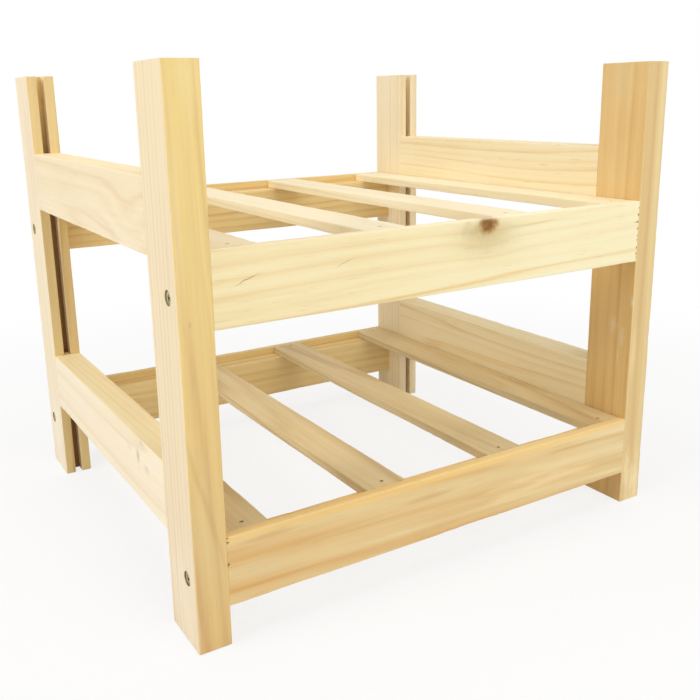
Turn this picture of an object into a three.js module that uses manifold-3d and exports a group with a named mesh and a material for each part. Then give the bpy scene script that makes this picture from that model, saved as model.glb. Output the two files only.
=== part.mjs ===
// Two-tier pine rack for lying bottles.
// Millimetres, +Z up, front towards -Y, origin on the floor under the middle of the rack.

import * as THREE from 'three';
import { mergeVertices } from 'three/addons/utils/BufferGeometryUtils.js';
import Module from 'manifold-3d';

const wasm = await Module();
wasm.setup();

// Overall size
const rackWidth = 300;
const rackDepth = 272;
const rackHeight = 267;

// Boards that the posts and rails are cut from
const boardThickness = 16.5;
const postDepth = 33;
const railHeight = 35.5;

// Shelf levels
const footHeight = 20;
const shelfPitch = 134;

// Slats and the rabbet that takes their ends
const slatsPerShelf = 4;
const slatWidth = 24;
const slatThickness = 5.5;
const slatSideGap = 0.5;
const slatEndGap = 0.3;
const railLip = 5;

// Groove in the posts and tongue on the side rails
const grooveWidth = 4.5;
const grooveDepth = 8;
const tongueSideGap = 0.25;
const tongueEndGap = 0.5;

// Countersunk wood screws through the posts into the front and rear rails
const screwHeadDiameter = 7;
const screwHeadRim = 0.5;
const screwHeadCone = 2.2;
const screwHeadSink = 0.4;
const screwShankDiameter = 3;
const screwThreadDiameter = 4;
const screwThreadPitch = 2.5;
const screwThreadTurns = 7;
const screwPointLength = 3;
const recessLength = 3.8;
const recessWidth = 0.9;
const recessDepth = 1.4;
const screwClearance = 0.3;
const screwOffset = 1.8; // from the middle of the rail's thickness, towards the inside of the rack

// Nails through the slat ends into the rails
const nailHeadDiameter = 2.2;
const nailHeadThickness = 0.7;
const nailHeadSink = 0.3;
const nailDiameter = 1.3;
const nailGrip = 8;
const nailPointLength = 2;
const nailClearance = 0.3;

// Facets of round pieces and holes
const screwSides = 12;
const nailSides = 8;

// Places worked out from the sizes above
const postX = (rackWidth - boardThickness) / 2;
const postY = (rackDepth - postDepth) / 2;
const bayWidth = rackWidth - 2 * boardThickness;
const sideRailLength = rackDepth - 2 * postDepth;
const screwY = (rackDepth - boardThickness) / 2 - screwOffset;
const ledgeDepth = boardThickness - railLip;
const railBodyHeight = railHeight - slatThickness;
const slatLength = rackDepth - 2 * (railLip + slatEndGap);
const slatSpread = bayWidth - 2 * slatSideGap - slatWidth;
const nailY = rackDepth / 2 - railLip - ledgeDepth / 2;
const shelves = [
  { name: 'lower', railBottom: footHeight },
  { name: 'upper', railBottom: footHeight + shelfPitch },
];
const sides = [{ name: 'left', sign: -1 }, { name: 'right', sign: 1 }];
const ends = [{ name: 'front', sign: -1 }, { name: 'rear', sign: 1 }];

const pineColours = { post: 0xecd3a0, sideRail: 0xf1dcb6, crossRail: 0xf0d9a4, slat: 0xe9cf9b };
const pineFinish = { roughness: 0.62, metalness: 0 };
const screwFinish = { color: 0xa9a7a0, roughness: 0.35, metalness: 0.9 };
const nailFinish = { color: 0x77726a, roughness: 0.45, metalness: 0.9 };

// Turns that carry a profile's own axes onto the rack's axes
const lengthAlongX = new THREE.Matrix4().makeBasis(
  new THREE.Vector3(0, 1, 0), new THREE.Vector3(0, 0, 1), new THREE.Vector3(1, 0, 0));
const spinAxisUp = new THREE.Matrix4().makeBasis(
  new THREE.Vector3(1, 0, 0), new THREE.Vector3(0, 0, 1), new THREE.Vector3(0, -1, 0));

function spinAxisOutward(side) {
  return new THREE.Matrix4().makeBasis(
    new THREE.Vector3(0, -side, 0), new THREE.Vector3(side, 0, 0), new THREE.Vector3(0, 0, 1));
}

// A closed geometry as a solid that can be joined and cut
function toSolid(geometry) {
  const bare = geometry.clone();
  bare.deleteAttribute('normal');
  bare.deleteAttribute('uv');
  const merged = mergeVertices(bare);
  return new wasm.Manifold(new wasm.Mesh({
    numProp: 3,
    vertProperties: new Float32Array(merged.attributes.position.array),
    triVerts: new Uint32Array(merged.index.array),
  }));
}

function toGeometry(solid) {
  const mesh = solid.getMesh();
  const geometry = new THREE.BufferGeometry();
  geometry.setAttribute('position', new THREE.BufferAttribute(mesh.vertProperties, 3));
  geometry.setIndex(new THREE.BufferAttribute(mesh.triVerts, 1));
  geometry.computeVertexNormals();
  return geometry;
}

function cut(geometry, cutters) {
  let solid = toSolid(geometry);
  for (const cutter of cutters) {
    solid = solid.subtract(toSolid(cutter));
  }
  return toGeometry(solid);
}

function extrude(points, length) {
  const shape = new THREE.Shape(points.map(([u, v]) => new THREE.Vector2(u, v)));
  return new THREE.ExtrudeGeometry(shape, { depth: length, bevelEnabled: false });
}

function lathe(points, facets) {
  return new THREE.LatheGeometry(points.map(([radius, height]) => new THREE.Vector2(radius, height)), facets);
}

// Screw: its axis is local Y, the top of its head at 0 and its point below
const screwLength = boardThickness - screwHeadSink + screwThreadTurns * screwThreadPitch + screwPointLength;

function screwGeometry() {
  const head = screwHeadDiameter / 2;
  const shank = screwShankDiameter / 2;
  const crest = screwThreadDiameter / 2;
  const threadTop = -(boardThickness - screwHeadSink);
  const threadEnd = threadTop - screwThreadTurns * screwThreadPitch;
  const profile = [[0, -screwLength], [shank, threadEnd]];
  for (let turn = screwThreadTurns - 1; turn >= 0; turn -= 1) {
    const top = threadTop - turn * screwThreadPitch;
    profile.push([crest, top - screwThreadPitch / 2], [shank, top]);
  }
  profile.push([shank, -screwHeadRim - screwHeadCone], [head, -screwHeadRim], [head, 0], [0, 0]);
  const recess = [
    new THREE.BoxGeometry(recessLength, 2 * recessDepth, recessWidth),
    new THREE.BoxGeometry(recessWidth, 2 * recessDepth, recessLength),
  ];
  return cut(lathe(profile, screwSides), recess);
}

// Clearance hole for a screw, on the same axis, running out past the head and past the point
function screwHole() {
  const head = screwHeadDiameter / 2 + screwClearance;
  const bore = screwThreadDiameter / 2 + screwClearance;
  const coneBottom = -screwHeadRim - screwHeadCone - screwClearance;
  const rim = -screwHeadRim - screwClearance;
  const bottom = -screwLength - screwClearance;
  const open = screwHeadSink + screwClearance;
  return lathe([[0, bottom], [bore, bottom], [bore, coneBottom], [head, rim],
    [head, open], [0, open]], screwSides);
}

// Nail: its axis is local Y, the top of its head at 0 and its point below
const nailLength = slatThickness - nailHeadSink + nailGrip + nailPointLength;

function nailGeometry() {
  const head = nailHeadDiameter / 2;
  const shank = nailDiameter / 2;
  const pointTop = -nailLength + nailPointLength;
  return lathe([[0, -nailLength], [shank, pointTop], [shank, -nailHeadThickness], [head, -nailHeadThickness],
    [head, 0], [0, 0]], nailSides);
}

function nailHole() {
  const head = nailHeadDiameter / 2 + nailClearance;
  const bore = nailDiameter / 2 + nailClearance;
  const bottom = -nailLength - nailClearance;
  const seat = -nailHeadThickness - nailClearance;
  const open = nailHeadSink + nailClearance;
  return lathe([[0, bottom], [bore, bottom], [bore, seat], [head, seat], [head, open], [0, open]], nailSides);
}

// Where a screw or a nail sits, as a transform of its local axis
function screwPlace(side, end, railBottom) {
  const x = side * (rackWidth / 2 - screwHeadSink);
  return spinAxisOutward(side).setPosition(x, end * screwY, railBottom + railBodyHeight / 2);
}

function slatX(index) {
  return slatSpread * (index / (slatsPerShelf - 1) - 0.5);
}

function nailPlace(index, end, railBottom) {
  return spinAxisUp.clone().setPosition(slatX(index), end * nailY, railBottom + railHeight - nailHeadSink);
}

function slatNumbers() {
  return Array.from({ length: slatsPerShelf }, (unused, index) => index);
}

// Corner post: a board on end, grooved down the face that looks into the rack
function postGeometry(side, end) {
  const x = boardThickness / 2;
  const y = postDepth / 2;
  const groove = grooveWidth / 2;
  const grooveFloor = y - grooveDepth;
  const section = [[-x, -y], [x, -y], [x, y], [groove, y], [groove, grooveFloor], [-groove, grooveFloor],
    [-groove, y], [-x, y]];
  const inward = section.map(([u, v]) => [u, -end * v]);
  const post = extrude(inward, rackHeight).translate(side * postX, end * postY, 0);
  return cut(post, shelves.map((shelf) => screwHole().applyMatrix4(screwPlace(side, end, shelf.railBottom))));
}

// Side rail: a board on edge between the posts, with a tongue at both ends
function sideRailGeometry(side, railBottom) {
  const x = boardThickness / 2;
  const y = sideRailLength / 2;
  const tongue = grooveWidth / 2 - tongueSideGap;
  const tip = y + grooveDepth - tongueEndGap;
  const plan = [[-x, -y], [-tongue, -y], [-tongue, -tip], [tongue, -tip], [tongue, -y], [x, -y],
    [x, y], [tongue, y], [tongue, tip], [-tongue, tip], [-tongue, y], [-x, y]];
  return extrude(plan, railHeight).translate(side * postX, 0, railBottom + railBodyHeight);
}

// Front or rear rail: a board on edge, rabbeted along its inner top edge for the slat ends
function crossRailGeometry(end, railBottom) {
  const outer = rackDepth / 2;
  const inner = outer - boardThickness;
  const section = [[inner, 0], [outer, 0], [outer, railHeight], [outer - railLip, railHeight],
    [outer - railLip, railBodyHeight], [inner, railBodyHeight]];
  const rail = extrude(section.map(([u, v]) => [end * u, v]), bayWidth);
  rail.applyMatrix4(lengthAlongX).translate(-bayWidth / 2, 0, railBottom);
  const screwHoles = sides.map(({ sign }) => screwHole().applyMatrix4(screwPlace(sign, end, railBottom)));
  const nailHoles = slatNumbers().map((index) => nailHole().applyMatrix4(nailPlace(index, end, railBottom)));
  return cut(rail, [...screwHoles, ...nailHoles]);
}

function slatGeometry(index, railBottom) {
  const slat = new THREE.BoxGeometry(slatWidth, slatLength, slatThickness);
  slat.translate(slatX(index), 0, railBottom + railHeight - slatThickness / 2);
  return cut(slat, ends.map(({ sign }) => nailHole().applyMatrix4(nailPlace(index, sign, railBottom))));
}

const rack = new THREE.Group();

function addPiece(name, geometry, finish) {
  const mesh = new THREE.Mesh(geometry, new THREE.MeshStandardMaterial(finish));
  mesh.name = name;
  rack.add(mesh);
  return mesh;
}

function addBoard(name, geometry, color) {
  return addPiece(name, geometry, { color, ...pineFinish });
}

for (const end of ends) {
  for (const side of sides) {
    addBoard(`post_${end.name}_${side.name}`, postGeometry(side.sign, end.sign), pineColours.post);
  }
}

for (const shelf of shelves) {
  for (const side of sides) {
    const rail = sideRailGeometry(side.sign, shelf.railBottom);
    addBoard(`side_rail_${shelf.name}_${side.name}`, rail, pineColours.sideRail);
  }
  for (const end of ends) {
    const rail = crossRailGeometry(end.sign, shelf.railBottom);
    addBoard(`${end.name}_rail_${shelf.name}`, rail, pineColours.crossRail);
    for (const side of sides) {
      const screw = addPiece(`screw_${shelf.name}_${end.name}_${side.name}`, screwGeometry(), screwFinish);
      screw.applyMatrix4(screwPlace(side.sign, end.sign, shelf.railBottom));
    }
  }
  for (const index of slatNumbers()) {
    addBoard(`slat_${shelf.name}_${index + 1}`, slatGeometry(index, shelf.railBottom), pineColours.slat);
    for (const end of ends) {
      const nail = addPiece(`nail_${shelf.name}_${index + 1}_${end.name}`, nailGeometry(), nailFinish);
      nail.applyMatrix4(nailPlace(index, end.sign, shelf.railBottom));
    }
  }
}

export default rack;
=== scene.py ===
# Pine rack in two tiers, with eased boards, countersunk screws and wire nails, on a pale floor.
import math
from dataclasses import dataclass, field

import bmesh
import bpy
from mathutils import Matrix, Vector, noise


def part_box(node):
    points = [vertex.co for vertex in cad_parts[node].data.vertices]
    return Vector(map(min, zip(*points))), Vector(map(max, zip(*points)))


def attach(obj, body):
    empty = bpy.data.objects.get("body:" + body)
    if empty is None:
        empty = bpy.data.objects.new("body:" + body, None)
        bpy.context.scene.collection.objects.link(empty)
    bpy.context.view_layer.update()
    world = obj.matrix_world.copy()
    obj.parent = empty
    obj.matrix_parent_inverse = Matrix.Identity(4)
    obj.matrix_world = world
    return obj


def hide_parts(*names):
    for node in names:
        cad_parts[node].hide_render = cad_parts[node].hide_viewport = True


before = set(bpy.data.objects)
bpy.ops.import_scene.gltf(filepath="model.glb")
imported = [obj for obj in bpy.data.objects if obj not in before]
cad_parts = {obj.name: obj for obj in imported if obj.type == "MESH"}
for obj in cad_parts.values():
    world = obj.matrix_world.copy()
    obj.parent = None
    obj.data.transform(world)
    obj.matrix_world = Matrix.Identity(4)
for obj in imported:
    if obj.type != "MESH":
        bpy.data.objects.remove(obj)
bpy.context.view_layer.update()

# The rack's lengths are in millimetres, and become metres in meshes and nodes.
MM = 0.001
PER_METRE = 1000.0
TO_MM = (PER_METRE, PER_METRE, PER_METRE)

ENDS = {"front": -1, "rear": 1}
SIDES = {"left": -1, "right": 1}
SHELVES = ("lower", "upper")
SLATS = (1, 2, 3, 4)
SQUARE = ((-1, -1), (1, -1), (1, 1), (-1, 1))

# The frame's axes across, up and along a board, by the axis of its grain
AXES = {"X": (1, 2, 0), "Y": (0, 2, 1), "Z": (0, 1, 2)}

# Joinery that the boxes of the nodes do not give
GROOVE_WIDTH = 4.5
GROOVE_DEPTH = 8.0
TONGUE_WIDTH = 4.0

# The gap that the solids leave at a slat's end, and how far the slats made here reach into it
SLAT_END_GAP = 0.3
SLAT_REACH = 0.2

# Easing of the board edges and the spacing of the mesh
EDGE_EASING = 0.5
JOINT_EASING = 0.15
END_EASING = 0.1
TONGUE_EASING = 0.25
EASING_STEPS = 3
EDGE_MARGIN = 0.7
MARGIN_SHARE = 0.25
CAP_INSET = 0.25
LEAST_ROUNDING = 0.06
SECTION_STEP = 2.0
CROSS_RAIL_STEP = 1.0
SECTION_LEAST = 3
LENGTH_STEP = 3.0
SHARP_ANGLE = math.radians(50)

# Wear along the edges and the unevenness of planed faces
EDGE_WEAR = 0.4
WEAR_WAVE = 26.0
WEAR_RIPPLE = 3.5
RIPPLE_SHARE = 0.45
FACE_WAVE = 60.0
FACE_HOLLOW = 0.10

# Torn fibres at sawn ends: how deep they go on each board, and how they fade inwards
TEAR = {"post": 0.5, "cross_rail": 0.6, "side_rail": 0.15, "tongue": 0.2, "slat": 0.3}
TEAR_WAVE = 1.7
TEAR_SEED_STEP = 3.9
TEAR_FLOOR = 0.2
CAP_TEAR = 0.6
EASING_TEAR_FALL = 0.4
FACE_TEAR = 0.25
CHIP_DARK = 0.6

# How much painted shade the walls of grooves and of screw holes get, where a groove floor gets all of it
GROOVE_WALL_SHADE = 0.08
BORED_WALL_SHADE = 0.7

# Facets of round pieces and holes
ROUND_SIDES = 32
HOLE_SIDES = 40

# Screws. The head's profile is in shares of its dome and radius, the recess in a blade's length and width.
SCREW_CLEARANCE = 0.15
SCREW_HEAD_SINK = 0.4
HOLE_EDGE = 0.14
HEAD_DOME = 0.12
HEAD_PROFILE = ((0.2, 0.4), (0.6, 0.75), (1.0, 0.95))
HEAD_ROUNDING = 0.1
SCREW_RIM = 0.5
SCREW_CONE = 2.2
CORE_RADIUS = 1.5
PLAIN_TURNS = 3
THREAD_RADIUS = 2.0
THREAD_PITCH = 2.5
THREAD_SHARE = 0.28
THREAD_STEPS = 8
SCREW_POINT = 4.0
RECESS_TOP = (3.9, 1.0)
RECESS_FLOOR = (1.7, 0.7)
RECESS_DEPTH = 1.4
RECESS_NOTED = 1.1
SCREW_TURN_STEP = 1.7
SCREW_TURN_NOISE = (0.4, 0.9)

# Nails. The head's profile is in depths and in shares of its radius.
NAIL_CLEARANCE = 0.06
NAIL_HEAD_SINK = 0.3
NAIL_RADIUS = 0.65
NAIL_HEAD = 0.7
NAIL_PROFILE = ((0.04, 0.7), (0.12, 0.93), (0.3, 1.0), (NAIL_HEAD - 0.1, 1.0), (NAIL_HEAD, 0.9))
NAIL_NECK = 0.15
NAIL_POINT = 3.0
GRIP_RINGS = 4
GRIP_START = 0.6
GRIP_SPACING = 0.5
GRIP_LENGTH = 0.3
GRIP_SWELL = 1.12

# Drying checks in the front face of a rail: their two ends, in x and z, and their widths
CHECKS = {
    "front_rail_upper": [((-124.5, 172.3), (-109.6, 177.3), 0.5), ((-74.0, 174.0), (-61.0, 178.6), 0.28)],
}
CHECK_DEPTH = 1.2
CHECK_OVERHANG = 0.3
CHECK_STRAY = 0.5
CHECK_STRAY_WAVES = 5.1
CHECK_NOISE = (0.3, 0.7)
CHECK_STEPS = 12

# Splinters torn out of a sawn end of a rail: their heights, lengths along the grain and widths
TORN_ENDS = {
    "front_rail_upper": ("right", (
        (185.6, 1.2, 0.9), (181.6, 1.5, 1.5), (177.5, 4.6, 0.9),
        (173.5, 1.4, 1.6), (169.4, 1.2, 1.3), (167.0, 1.6, 1.0),
        (162.6, 1.2, 1.6), (158.7, 1.7, 1.5), (156.7, 1.0, 1.0),
    )),
    "front_rail_lower": ("left", ((55.0, 1.6, 1.2), (52.9, 1.7, 1.4), (41.6, 1.4, 1.9))),
}
# Painted shade in the notches: how deep it reaches into the face, its reach in shares of a splinter's width
# and length, and how strongly it shows
TORN_MARK_DEPTH = 1.5
TORN_MARK_REACH = 0.8
TORN_MARK_SHARE = 0.6


def box_mm(node):
    low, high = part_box(node)
    return low * PER_METRE, high * PER_METRE


# Outlines and rings that boards are made of


@dataclass
class Spot:
    """One point of a board's outline: its anchor, the way out of the wood, its painted shade and its
    rounding.
    """

    anchor: Vector
    outward: Vector
    painted_shade: float = 0.0
    rounding: float = 0.0
    diagonal: Vector = None

    def inset(self, depth):
        """The place once the outline is taken in by the depth."""
        if not self.rounding:
            return self.anchor - self.outward * depth
        radius = max(LEAST_ROUNDING, self.rounding - depth)
        return self.anchor + self.outward * radius - self.diagonal * (depth - self.rounding + radius)


def corner_spots(before, corner, after, easing):
    """The points of one corner: an arc where it stands out, a single point with painted shade where it
    stands in.
    """
    here = Vector(corner)
    along = (here - Vector(before)).normalized()
    onward = (Vector(after) - here).normalized()
    out_before = Vector((along.y, -along.x))
    out_after = Vector((onward.y, -onward.x))
    diagonal = out_before + out_after
    if along.x * onward.y - along.y * onward.x < 0:
        return [Spot(here, diagonal, 1.0)]
    spots = []
    for step in range(EASING_STEPS + 1):
        angle = math.pi / 2 * step / EASING_STEPS
        outward = out_before * math.cos(angle) + out_after * math.sin(angle)
        spots.append(Spot(here - diagonal * easing, outward, 0.0, easing, diagonal))
    return spots


def eased_outline(corners, easings, counts):
    """The spots of a closed outline, counter-clockwise, with eased outer corners and painted shade in
    recesses.
    """
    total = len(corners)
    groups = []
    for k in range(total):
        groups.append(corner_spots(corners[k - 1], corners[k], corners[(k + 1) % total], easings[k]))
    spots = []
    for k, group in enumerate(groups):
        spots.extend(group)
        before = group[-1]
        after = groups[(k + 1) % total][0]
        start = before.inset(0.0)
        stretch = after.inset(0.0) - start
        outward = Vector((stretch.y, -stretch.x)).normalized()
        margin = min(EDGE_MARGIN / stretch.length, MARGIN_SHARE)
        # Painted shade: all of it on a groove floor, and a little, growing towards the floor, on the
        # groove's walls
        groove_floor = before.painted_shade and after.painted_shade
        for step in range(counts[k]):
            share = margin + (1 - 2 * margin) * step / (counts[k] - 1)
            wall = GROOVE_WALL_SHADE * (before.painted_shade * (1 - share) + after.painted_shade * share)
            spots.append(Spot(start + stretch * share, outward, 1.0 if groove_floor else wall))
    return spots


def side_counts(corners, step=SECTION_STEP):
    counts = []
    for index, corner in enumerate(corners):
        side = (Vector(corners[(index + 1) % len(corners)]) - Vector(corner)).length
        counts.append(max(SECTION_LEAST, round(side / step)))
    return counts


def eased_end(at, inward, easing):
    """Rings from an end face inwards, as (along, inset, cut, torn)."""
    rings = [(at, easing + CAP_INSET, 1.0, CAP_TEAR)]
    for step in range(EASING_STEPS + 1):
        angle = math.pi / 2 * step / EASING_STEPS
        inset = easing * (1 - math.sin(angle))
        along = at + inward * easing * (1 - math.cos(angle))
        cut = max(0.0, 2 * inset / easing - 1)
        rings.append((along, inset, cut, 1.0 - EASING_TEAR_FALL * step / EASING_STEPS))
    rings.append((at + inward * (easing + EDGE_MARGIN), 0.0, 0.0, FACE_TEAR))
    return rings


def plain_rings(start, stop):
    count = round(abs(stop - start) / LENGTH_STEP)
    return [(start + (stop - start) * k / count, 0.0, 0.0, 0.0) for k in range(1, count)]


def board_rings(start, stop):
    """Rings between two sawn ends."""
    head = eased_end(start, 1, END_EASING)
    tail = eased_end(stop, -1, END_EASING)
    return head + plain_rings(head[-1][0], tail[-1][0]) + tail[::-1]


def tongue_rings(tip, inward, shoulder):
    rings = eased_end(tip, inward, TONGUE_EASING)
    return rings + plain_rings(rings[-1][0], shoulder) + [(shoulder, 0.0, 0.0, 0.0)]


def worn(spot, along, seed):
    """How far wear has taken a point of an eased edge inwards."""
    if not spot.rounding:
        return 0.0
    slow = noise.noise(Vector((along / WEAR_WAVE, spot.anchor.x, spot.anchor.y + seed)))
    fast = noise.noise(Vector((along / WEAR_RIPPLE, spot.anchor.y, spot.anchor.x + seed)))
    return EDGE_WEAR * spot.rounding / EDGE_EASING * max(0.0, slow + RIPPLE_SHARE * fast)


def frame_place(grain, *own):
    """A place across, up and along a board as a place in the rack's frame."""
    place = Vector()
    for axis, value in zip(AXES[grain], own):
        place[axis] = value
    return place


def carry(outline, stations, grain, seed, tear):
    """The outline at each station, as rings of (place, arris, cut, painted shade)."""
    rings = []
    for along, inset, cut, torn in stations:
        ring = []
        for spot in outline:
            anchor = spot.anchor
            fibre = Vector((anchor.x / TEAR_WAVE, anchor.y / TEAR_WAVE, seed * TEAR_SEED_STEP))
            chip = tear * torn * max(0.0, noise.noise(fibre) - TEAR_FLOOR)
            depth = inset + chip + worn(spot, along, seed)
            wave = noise.noise(Vector((anchor.x, anchor.y, along)) / FACE_WAVE + Vector((seed, 0, 0)))
            moved = spot.inset(depth + FACE_HOLLOW * max(0.0, wave) * (1 - cut))
            arris = 1.0 if spot.rounding else 0.0
            fresh = min(1.0, cut + chip / CHIP_DARK)
            ring.append((frame_place(grain, moved.x, moved.y, along), arris, fresh, spot.painted_shade))
        rings.append(ring)
    return rings


def link(name, data):
    made = bpy.data.objects.new(name, data)
    bpy.context.scene.collection.objects.link(made)
    return made


def finished_object(name, bm):
    """An object from a bmesh in metres, shaded soft but crisp at sharp edges."""
    bmesh.ops.recalc_face_normals(bm, faces=bm.faces)
    mesh = bpy.data.meshes.new(name)
    bm.to_mesh(mesh)
    bm.free()
    mesh.shade_smooth()
    mesh.set_sharp_from_angle(angle=SHARP_ANGLE)
    return link(name, mesh)


def stitch(bm, rows):
    """Faces between closed rows of vertices, each joined to the next. A row may be a lone point."""
    for row, following in zip(rows, rows[1:]):
        sides = max(len(row), len(following))
        for k in range(sides):
            after = (k + 1) % sides
            corners = [row[k % len(row)], row[after % len(row)]]
            corners += [following[after % len(following)], following[k % len(following)]]
            bm.faces.new(list(dict.fromkeys(corners)))


def closed_board(name, rings):
    """A closed mesh through the rings, with what they say of edges, sawn ends and painted shade in
    recesses.
    """
    bm = bmesh.new()
    layers = [bm.verts.layers.float.new(kind) for kind in ("arris", "cut", "painted_shade")]
    rows = []
    for ring in rings:
        row = []
        for place, *values in ring:
            vertex = bm.verts.new(place * MM)
            for layer, value in zip(layers, values):
                vertex[layer] = value
            row.append(vertex)
        rows.append(row)
    stitch(bm, rows)
    bm.faces.new(rows[0])
    bm.faces.new(rows[-1])
    return finished_object(name, bm)


# Round pieces, which are turned about local Z with the head's top at 0


def turned(rows, sides):
    """A closed bmesh from rows of height and radius, which may be 0 or depend on the angle."""
    bm = bmesh.new()
    rings = []
    for height, radius in rows:
        if radius == 0:
            rings.append([bm.verts.new((0, 0, height * MM))])
            continue
        ring = []
        for k in range(sides):
            angle = 2 * math.pi * k / sides
            reach = radius(angle) if callable(radius) else radius
            x = reach * math.cos(angle) * MM
            y = reach * math.sin(angle) * MM
            ring.append(bm.verts.new((x, y, height * MM)))
        rings.append(ring)
    stitch(bm, rings)
    return bm


class Fastener:
    """Where a screw or nail sits, from its node's box and the direction out of the wood."""

    def __init__(self, node, outward):
        low, high = box_mm(node)
        self.node = node
        self.outward = Vector(outward)
        across = 1 if outward[0] else 0
        self.head_radius = (high[across] - low[across]) / 2
        self.length = abs((high - low).dot(self.outward))
        middle = (low + high) / 2
        self.head = middle + self.outward * self.length / 2

    def matrix(self, turn=0.0):
        """Carries local Z onto the outward direction at the head's place."""
        upright = self.outward.to_track_quat("Z", "Y").to_matrix().to_4x4()
        return Matrix.Translation(self.head * MM) @ upright @ Matrix.Rotation(turn, 4, "Z")

    def placed(self, bm):
        bmesh.ops.transform(bm, matrix=self.matrix(), verts=bm.verts)
        return bm


def screw_rows(screw):
    head = screw.head_radius
    rows = [(0, 0)]
    rows += [(-drop * HEAD_DOME, head * share) for drop, share in HEAD_PROFILE]
    rows += [(-HEAD_DOME - HEAD_ROUNDING, head), (-SCREW_RIM, head)]
    neck = -SCREW_RIM - SCREW_CONE
    thread_top = neck - PLAIN_TURNS * THREAD_PITCH
    rows += [(neck, CORE_RADIUS), (thread_top, CORE_RADIUS)]
    point_top = -screw.length + SCREW_POINT
    step = THREAD_PITCH / THREAD_STEPS
    count = int((thread_top + screw.length) / step)
    for k in range(1, count):
        height = thread_top - k * step
        taper = min(1.0, (height + screw.length) / (point_top + screw.length))
        rows.append((height, thread_radius(height, taper)))
    rows.append((-screw.length, 0))
    return rows


def thread_radius(height, taper):
    """The radius at one height of the thread, as a function of the angle."""

    def radius(angle):
        phase = (height / THREAD_PITCH + angle / (2 * math.pi)) % 1.0
        rise = max(0.0, 1 - abs(phase - 0.5) / THREAD_SHARE)
        return (CORE_RADIUS + (THREAD_RADIUS - CORE_RADIUS) * rise) * taper

    return radius


def nail_rows(nail):
    rows = [(0, 0)]
    rows += [(-depth, nail.head_radius * share) for depth, share in NAIL_PROFILE]
    rows.append((-NAIL_HEAD - NAIL_NECK, NAIL_RADIUS))
    for k in range(GRIP_RINGS):
        top = -NAIL_HEAD - GRIP_START - GRIP_SPACING * k
        rows += [(top, NAIL_RADIUS), (top - GRIP_LENGTH / 2, NAIL_RADIUS * GRIP_SWELL)]
        rows.append((top - GRIP_LENGTH, NAIL_RADIUS))
    rows += [(-nail.length + NAIL_POINT, NAIL_RADIUS), (-nail.length, 0)]
    return rows


# Holes, recesses and checks


def screw_hole(screw):
    bore = THREAD_RADIUS + SCREW_CLEARANCE
    head = screw.head_radius + SCREW_CLEARANCE
    rim = -SCREW_RIM - SCREW_CLEARANCE
    cone = rim - SCREW_CONE
    bottom = -screw.length - SCREW_CLEARANCE
    top = SCREW_HEAD_SINK + SCREW_CLEARANCE
    edge = SCREW_HEAD_SINK - HOLE_EDGE
    rows = [(top, 0), (top, head), (edge, head), (rim, head), (cone, bore), (bottom, bore), (bottom, 0)]
    return screw.placed(turned(rows, HOLE_SIDES))


def nail_hole(nail):
    bore = NAIL_RADIUS + NAIL_CLEARANCE
    head = nail.head_radius + NAIL_CLEARANCE
    seat = -NAIL_HEAD - NAIL_CLEARANCE
    bottom = -nail.length - NAIL_CLEARANCE
    top = NAIL_HEAD_SINK + NAIL_CLEARANCE
    rows = [(top, 0), (top, head), (seat, head), (seat, bore), (bottom, bore), (bottom, 0)]
    return nail.placed(turned(rows, HOLE_SIDES))


def recess_blade(turn):
    """One tapered blade of the cross recess, which stands above the head."""
    bm = bmesh.new()
    rows = []
    for (length, width), height in ((RECESS_FLOOR, -RECESS_DEPTH), (RECESS_TOP, SCREW_HEAD_SINK)):
        places = [(x * length / 2, y * width / 2, height) for x, y in SQUARE]
        rows.append([bm.verts.new(Vector(place) * MM) for place in places])
    for row in rows:
        bm.faces.new(row)
    stitch(bm, rows)
    bmesh.ops.rotate(bm, matrix=Matrix.Rotation(turn, 3, "Z"), verts=bm.verts)
    return bm


def check_cutter(start, stop, width, face):
    """A thin wedge with pointed ends that opens a check in a front face, from (x, z) to (x, z)."""
    run = Vector(stop) - Vector(start)
    across = Vector((-run.y, run.x)).normalized()
    outside = face - CHECK_OVERHANG
    bm = bmesh.new()
    rows = []
    for k in range(1, CHECK_STEPS):
        share = k / CHECK_STEPS
        swell = math.sin(math.pi * share)
        stray = CHECK_STRAY * noise.noise(Vector((CHECK_STRAY_WAVES * share, *CHECK_NOISE)))
        middle = Vector(start) + run * share + across * stray
        half = across * width / 2 * swell
        places = [(side.x, outside, side.y) for side in (middle - half, middle + half)]
        places.append((middle.x, face + CHECK_DEPTH * swell, middle.y))
        rows.append([bm.verts.new(Vector(place) * MM) for place in places])
    stitch(bm, rows)
    for row, tip in ((rows[0], start), (rows[-1], stop)):
        stitch(bm, [row, [bm.verts.new(Vector((tip[0], outside, tip[1])) * MM)]])
    return bm


def drill(target, holes):
    """Cuts a list of bmesh cutters out of the target's mesh in one go."""
    joined = bmesh.new()
    for hole in holes:
        part = bpy.data.meshes.new("hole")
        hole.to_mesh(part)
        hole.free()
        joined.from_mesh(part)
        bpy.data.meshes.remove(part)
    cutter = finished_object("cutter", joined)
    modifier = target.modifiers.new("cut", "BOOLEAN")
    modifier.operation = "DIFFERENCE"
    modifier.solver = "EXACT"
    modifier.object = cutter
    whole = target.evaluated_get(bpy.context.evaluated_depsgraph_get())
    mesh = bpy.data.meshes.new_from_object(whole)
    target.modifiers.remove(modifier)
    old = target.data
    target.data = mesh
    bpy.data.meshes.remove(old)
    bpy.data.objects.remove(cutter)
    mesh.set_sharp_from_angle(angle=SHARP_ANGLE)


def shade_bored_walls(mesh, screws):
    """Paints shade on the walls round screw heads, from just below the hollows of the face."""
    painted_shade = mesh.attributes["painted_shade"].data
    top = SCREW_HEAD_SINK - (FACE_HOLLOW + HOLE_EDGE) / 2
    for screw in screws:
        radius = screw.head_radius + 2 * SCREW_CLEARANCE
        for vertex, kept in zip(mesh.vertices, painted_shade):
            offset = vertex.co * PER_METRE - screw.head
            height = offset.dot(screw.outward)
            across = (offset - screw.outward * height).length
            if -SCREW_CONE < height < top and across < radius:
                kept.value = BORED_WALL_SHADE


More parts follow.
